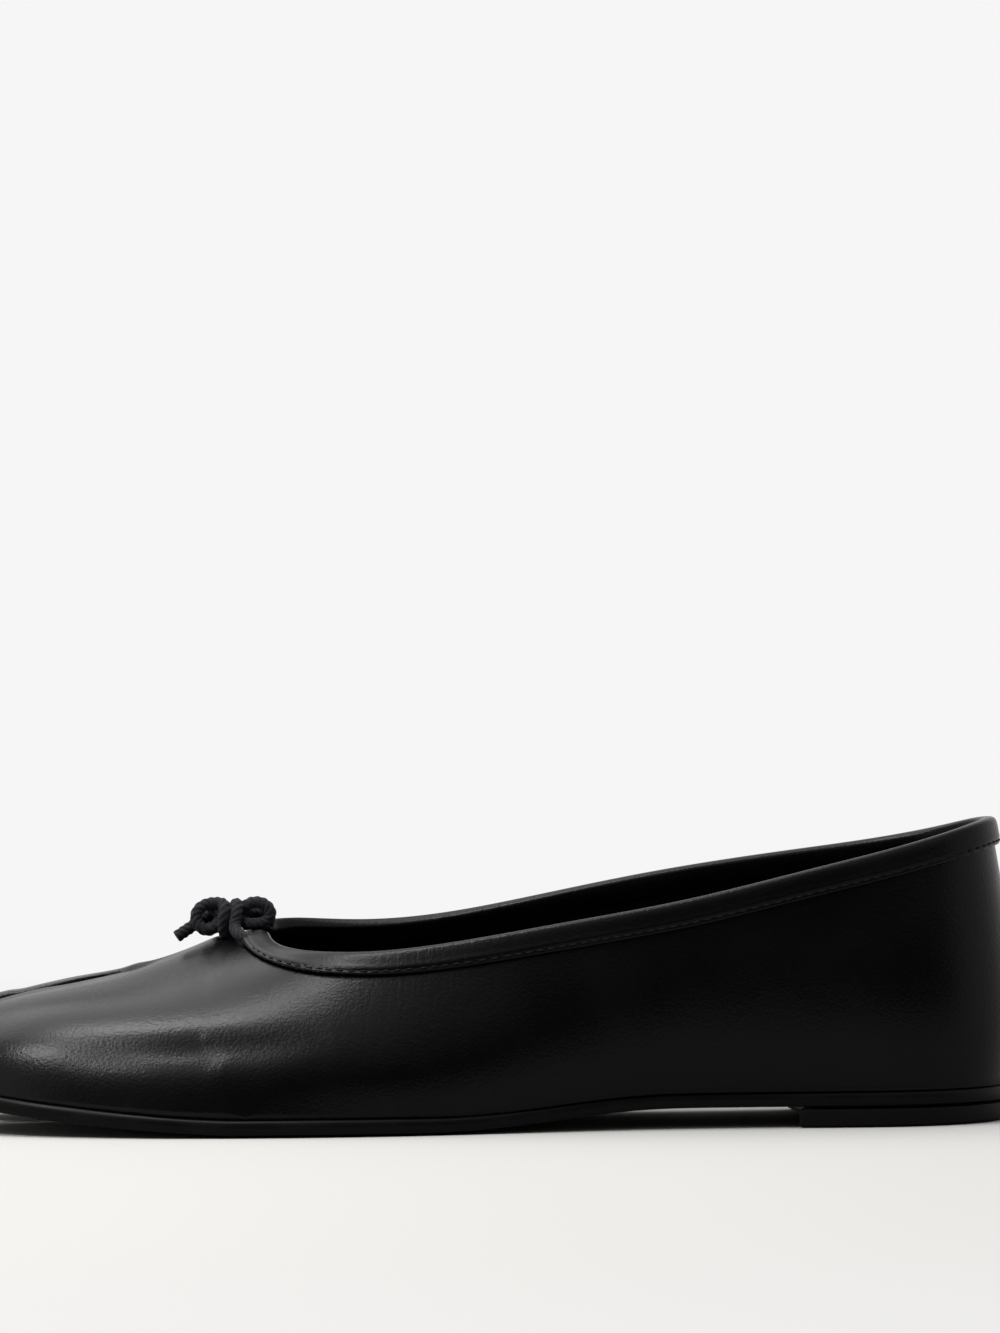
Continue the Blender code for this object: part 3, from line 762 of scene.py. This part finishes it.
# --- Collar binding ---------------------------------------------------------------------
# A strip of the same calf folded over the upper's top edge as a casing, stitched through in
# one row near its lower edge. It is open at the throat, where the drawstring comes out.
STITCH_DOWN = 4.3 * MM
STITCH_STEP = 2.3 * MM
GROOVE_DEEP = 0.2 * MM
GROOVE_WIDE = 0.4 * MM
PUFF_HIGH = 0.06 * MM
PUFF_AT = 1.0 * MM
PUFF_WIDE = 0.6 * MM
EDGE_PRESS = 0.8 * MM
EDGE_FROM = 0.3 * MM
EDGE_FULL = 1.6 * MM
SEAM_STEP = 0.6 * MM
AIM_DOWN = 2 * MM
AIM_FROM = 10 * MM
NEEDLE_OUTSIDE = 6 * MM
NEEDLE_INSIDE = 8 * MM
CASING_ENDS = ((72.6, -0.6, 42.0), (72.1, 13.6, 43.4))
CASING_SWELL = 1.1 * MM
CASING_SWELL_LONG = 6.0 * MM
THREAD_BLACK = "#040405"
THREAD_RADIUS = 0.22 * MM
THREAD_SINK = 0.7
THREAD_SIDES = 6
THREAD_FIBRE = 0.15 * MM
THREAD_FIBRE_DEEP = 0.03 * MM
STITCH_LONG = 1.75 * MM
# Top of the collar from the outer side of the throat round the heel to the inner side,
# in the drawing's millimetres
COLLAR = (
    (75.4, 0.0, 41.4), (77.8, -8.5, 39.9), (83.0, -16.5, 38.7), (91.5, -22.3, 38.3),
    (104.0, -25.5, 38.7), (122.0, -26.9, 41.0), (145.0, -27.0, 44.9), (169.5, -26.0, 49.2),
    (194.5, -24.4, 55.0), (214.0, -22.0, 59.6), (228.5, -16.6, 63.4), (236.5, -8.6, 65.6),
    (239.3, 1.0, 66.2), (236.4, 10.5, 65.6), (228.0, 18.4, 63.4), (213.0, 23.2, 60.6),
    (193.5, 24.3, 58.0), (168.5, 24.4, 54.4), (144.0, 25.0, 49.8), (121.0, 25.8, 45.3),
    (103.5, 25.7, 43.3), (91.0, 24.6, 43.3), (82.5, 22.2, 43.8), (77.6, 19.0, 43.6),
    (75.3, 15.0, 43.0),
)


def stitch_line(collar, casing):
    """Where the needle goes through the casing: (outside point, inside point, run, normal)."""
    places = []
    for before, here, after in zip(collar, collar[1:], collar[2:]):
        run = (after - before).normalized()
        out = run.cross(Vector((0, 0, 1))).normalized()
        above = out + Vector((0, 0, 1))
        target = here + (out - Vector((0, 0, 1))) * AIM_DOWN
        start = here + above * AIM_FROM
        _, normal, _, _ = casing.ray_cast(start, target - start)
        down = run.cross(normal).normalized()
        seam = here + down * STITCH_DOWN
        outer, normal, _, _ = casing.ray_cast(seam + normal * NEEDLE_OUTSIDE, -normal)
        inner, _, _, _ = casing.ray_cast(seam - normal * NEEDLE_INSIDE, normal)
        places.append((outer, inner, run, normal))
    return places


binding_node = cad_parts["collar_binding"].data
casing = BVHTree.FromPolygons(
    [v.co for v in binding_node.vertices], [p.vertices for p in binding_node.polygons]
)
seam = stitch_line(smooth_line([in_place(p) for p in COLLAR], SEAM_STEP), casing)

seam_points = KDTree(2 * len(seam))
for i, (outer, inner, _, _) in enumerate(seam):
    seam_points.insert(outer, 2 * i)
    seam_points.insert(inner, 2 * i + 1)
seam_points.balance()

binding = soft_piece(merged_copy("collar_binding"), "collar_binding_dressed", 3)
normals = [vertex.normal.copy() for vertex in binding.data.vertices]
for vertex, normal in zip(binding.data.vertices, normals):
    _, i, away = seam_points.find(vertex.co)
    outer, _, run, out = seam[i // 2]
    below = (vertex.co - outer).dot(run.cross(out).normalized())
    press = EDGE_PRESS * eased(EDGE_FROM, EDGE_FULL, below) if i % 2 == 0 else 0.0
    groove = GROOVE_DEEP * math.exp(-((away / GROOVE_WIDE) ** 2))
    puff = PUFF_HIGH * math.exp(-(((away - PUFF_AT) / PUFF_WIDE) ** 2))
    end = min((vertex.co - in_place(place)).length for place in CASING_ENDS)
    bulge = CASING_SWELL * math.exp(-((end / CASING_SWELL_LONG) ** 2)) * max(0.0, normal.z)
    vertex.co += normal * (puff - groove + bulge) - out * press
binding.data.materials.append(calf)
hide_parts("collar_binding")
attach(binding, "root")

# Waxed thread: small dull grains that catch a little light along the seam
thread, tree = new_material("waxed_thread")
coords = add_node(tree, "ShaderNodeTexCoord")
fibres = add_node(
    tree,
    "ShaderNodeTexNoise",
    {"Vector": coords.outputs["Object"], "Scale": 1 / THREAD_FIBRE, "Detail": 2.0},
)
bump = add_node(
    tree,
    "ShaderNodeBump",
    {"Height": fibres.outputs["Fac"], "Strength": 0.5, "Distance": THREAD_FIBRE_DEEP},
)
shader = add_node(
    tree,
    "ShaderNodeBsdfPrincipled",
    {
        "Base Color": linear(THREAD_BLACK),
        "Roughness": 0.6,
        "IOR": 1.2,
        "Normal": bump.outputs["Normal"],
    },
)
add_node(tree, "ShaderNodeOutputMaterial", {"Surface": shader.outputs["BSDF"]})

bm = bmesh.new()
walked = STITCH_STEP
for before, (outer, inner, run, normal) in zip(seam, seam[1:]):
    walked += (outer - before[0]).length
    if walked < STITCH_STEP:
        continue
    walked = 0.0
    across = normal.cross(run).normalized()
    for point, lift in ((outer, -THREAD_SINK), (inner, THREAD_SINK)):
        centre = point + normal * lift * THREAD_RADIUS
        turn = Matrix((run, across, run.cross(across))).transposed()
        made = bmesh.ops.create_uvsphere(
            bm, u_segments=THREAD_SIDES, v_segments=THREAD_SIDES, radius=1.0
        )["verts"]
        bmesh.ops.scale(bm, verts=made, vec=(THREAD_RADIUS, THREAD_RADIUS, STITCH_LONG / 2))
        bmesh.ops.rotate(bm, verts=made, matrix=Matrix.Rotation(math.radians(90), 3, "Y"))
        bmesh.ops.transform(bm, verts=made, matrix=Matrix.Translation(centre) @ turn.to_4x4())
stitch_mesh = bpy.data.meshes.new("binding_stitches")
bm.to_mesh(stitch_mesh)
bm.free()
stitch_mesh.shade_smooth()
stitch_mesh.materials.append(thread)
stitches = bpy.data.objects.new("binding_stitches", stitch_mesh)
bpy.context.collection.objects.link(stitches)
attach(stitches, "root")

# --- Drawstring -------------------------------------------------------------------------
# A twisted cotton cord that runs round inside the casing. Its two ends come out at the
# throat and are tied in a small tight bow with cut ends.
CORD_DIAMETER = 2.9 * MM
CORD_STRANDS = 4
CORD_LOBE = 0.06
CORD_LAY = 5.5 * MM
CORD_EASING = 6
CORD_STEP = 0.4 * MM
CORD_SIDES = 24
CORD_FIBRE = 0.9 * MM
CORD_FIBRE_DEEP = 0.3 * MM
CORE_FIBRE = 0.3 * MM
CORE_FIBRE_DEEP = 0.1 * MM
CORD_BLUE_BLACK = "#050509"
# Painted highlight: the pale bluish colour of the flecks on the cord's raised fibres
CORD_PAINTED_GLINT = "#1f1f29"
CORD_CORE = "#4a4038"
# Routes in the drawing's millimetres, from the casing to the cut end
NEAR_ROUTE = (
    (73.6, -3.0, 41.2), (72.2, -2.2, 41.4), (70.8, -1.2, 41.8), (69.6, 0.2, 42.4),
    (68.9, 1.9, 43.3),
    (68.8, 3.2, 44.8), (69.1, 3.7, 46.6), (69.3, 5.0, 48.3), (68.9, 7.0, 48.8),
    (68.3, 8.9, 47.7), (67.6, 9.5, 45.7), (67.0, 8.6, 43.4), (66.5, 6.8, 42.2),
    (66.1, 4.7, 42.8), (66.1, 3.7, 44.8), (66.4, 3.8, 46.9), (66.4, 5.1, 48.5), (65.4, 6.4, 49.0),
    (63.6, 6.7, 49.0), (61.8, 6.4, 48.6), (60.3, 5.9, 47.5), (59.8, 5.4, 45.8), (60.4, 5.0, 44.1),
    (62.2, 4.7, 42.9), (64.0, 5.2, 43.4), (65.2, 6.8, 45.2), (65.3, 8.8, 46.2), (64.0, 10.0, 46.5),
    (61.8, 9.8, 45.8), (60.0, 9.2, 44.5), (57.6, 8.6, 42.9), (55.2, 8.0, 41.3),
)
FAR_ROUTE = (
    (75.4, 15.6, 43.4), (76.0, 13.6, 44.6), (75.6, 11.8, 45.9), (74.2, 10.6, 46.6),
    (72.2, 9.8, 46.7),
    (70.8, 8.6, 46.6), (70.2, 7.1, 47.0), (70.9, 6.0, 48.2), (72.4, 5.8, 49.1), (74.8, 5.6, 49.0),
    (76.5, 5.4, 47.6), (76.7, 5.2, 45.8), (75.4, 5.0, 44.6), (73.2, 4.8, 44.2), (71.0, 5.0, 44.5),
    (69.4, 6.0, 45.3), (67.4, 6.6, 45.8), (65.6, 6.9, 46.4), (64.0, 7.6, 47.2), (63.4, 9.2, 48.0),
    (63.6, 11.0, 47.6), (63.8, 12.6, 46.4), (63.4, 14.2, 45.0), (62.6, 15.8, 43.2),
)

# Twisted cotton: dull blue-black, with lighter bluish flecks painted on the raised fibres as
# highlights
cotton, tree = new_material("cotton_cord_twisted")
coords = add_node(tree, "ShaderNodeTexCoord")
fibres = add_node(
    tree,
    "ShaderNodeTexNoise",
    {
        "Vector": coords.outputs["Object"],
        "Scale": 1 / CORD_FIBRE,
        "Detail": 5.0,
        "Roughness": 0.75,
    },
)
colour = add_node(tree, "ShaderNodeValToRGB", {"Fac": fibres.outputs["Fac"]})
colour.color_ramp.elements[0].position = 0.45
colour.color_ramp.elements[0].color = linear(CORD_BLUE_BLACK)
colour.color_ramp.elements[1].position = 0.72
colour.color_ramp.elements[1].color = linear(CORD_PAINTED_GLINT)
bump = add_node(
    tree,
    "ShaderNodeBump",
    {"Height": fibres.outputs["Fac"], "Strength": 1.0, "Distance": CORD_FIBRE_DEEP},
)
shader = add_node(
    tree,
    "ShaderNodeBsdfPrincipled",
    {
        "Base Color": colour.outputs["Color"],
        "Roughness": 0.85,
        "IOR": 1.3,
        "Sheen Weight": 0.05,
        "Sheen Roughness": 0.5,
        "Normal": bump.outputs["Normal"],
    },
)
add_node(tree, "ShaderNodeOutputMaterial", {"Surface": shader.outputs["BSDF"]})

# Cut cotton: a small grey-brown disc of fibre ends where the cord is cut off
cut_core, tree = new_material("cotton_cord_cut_core")
coords = add_node(tree, "ShaderNodeTexCoord")
ends = add_node(
    tree,
    "ShaderNodeTexVoronoi",
    {"Vector": coords.outputs["Object"], "Scale": 1 / CORE_FIBRE},
)
bump = add_node(
    tree,
    "ShaderNodeBump",
    {"Height": ends.outputs["Distance"], "Strength": 0.8, "Distance": CORE_FIBRE_DEEP},
)
shader = add_node(
    tree,
    "ShaderNodeBsdfPrincipled",
    {
        "Base Color": linear(CORD_CORE),
        "Roughness": 0.9,
        "IOR": 1.4,
        "Normal": bump.outputs["Normal"],
    },
)
add_node(tree, "ShaderNodeOutputMaterial", {"Surface": shader.outputs["BSDF"]})


def twisted_cord(name, route):
    """A cord laid along a route, its strands wound round each other, and its centreline."""
    line = smooth_line([in_place(p) for p in route], CORD_STEP)
    for _ in range(CORD_EASING):
        inner = [(a + b + c) / 3 for a, b, c in zip(line, line[1:], line[2:])]
        line = [line[0], *inner, line[-1]]
    profile_data = bpy.data.curves.new(name + "_strands", "CURVE")
    ring = profile_data.splines.new("POLY")
    ring.points.add(CORD_SIDES - 1)
    for i, point in enumerate(ring.points):
        turn = math.tau * i / CORD_SIDES
        radius = CORD_DIAMETER / 2 * (1 - CORD_LOBE + CORD_LOBE * math.cos(CORD_STRANDS * turn))
        point.co = (radius * math.cos(turn), radius * math.sin(turn), 0, 1)
    ring.use_cyclic_u = True
    profile = bpy.data.objects.new(name + "_strands", profile_data)
    path_data = bpy.data.curves.new(name + "_path", "CURVE")
    path_data.dimensions = "3D"
    path_data.bevel_mode = "OBJECT"
    path_data.bevel_object = profile
    path_data.use_fill_caps = True
    spline = path_data.splines.new("POLY")
    spline.points.add(len(line) - 1)
    walked = 0.0
    for i, (point, here) in enumerate(zip(spline.points, line)):
        walked += (here - line[i - 1]).length if i else 0.0
        point.co = (*here, 1)
        point.tilt = math.tau * walked / CORD_LAY
    path = bpy.data.objects.new(name + "_path", path_data)
    for helper in (profile, path):
        bpy.context.collection.objects.link(helper)
    evaluated = path.evaluated_get(bpy.context.evaluated_depsgraph_get())
    mesh = bpy.data.meshes.new_from_object(evaluated)
    for helper, data in ((path, path_data), (profile, profile_data)):
        bpy.data.objects.remove(helper)
        bpy.data.curves.remove(data)
    mesh.name = name
    mesh.flip_normals()
    mesh.shade_smooth()
    mesh.materials.clear()
    mesh.materials.append(cotton)
    mesh.materials.append(cut_core)
    for face in mesh.polygons:
        face.material_index = 1 if len(face.vertices) > 4 else 0
    cord = bpy.data.objects.new(name, mesh)
    bpy.context.collection.objects.link(cord)
    return cord, line


for name, route, nodes in (
    (
        "drawstring_near",
        NEAR_ROUTE,
        ("bow_knot", "bow_loop_front", "bow_tail_near", "bow_foot_near"),
    ),
    ("drawstring_far", FAR_ROUTE, ("bow_loop_back", "bow_tail_far", "bow_foot_far")),
):
    cord, line = twisted_cord(name, route)
    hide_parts(*nodes)
    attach(cord, "root")
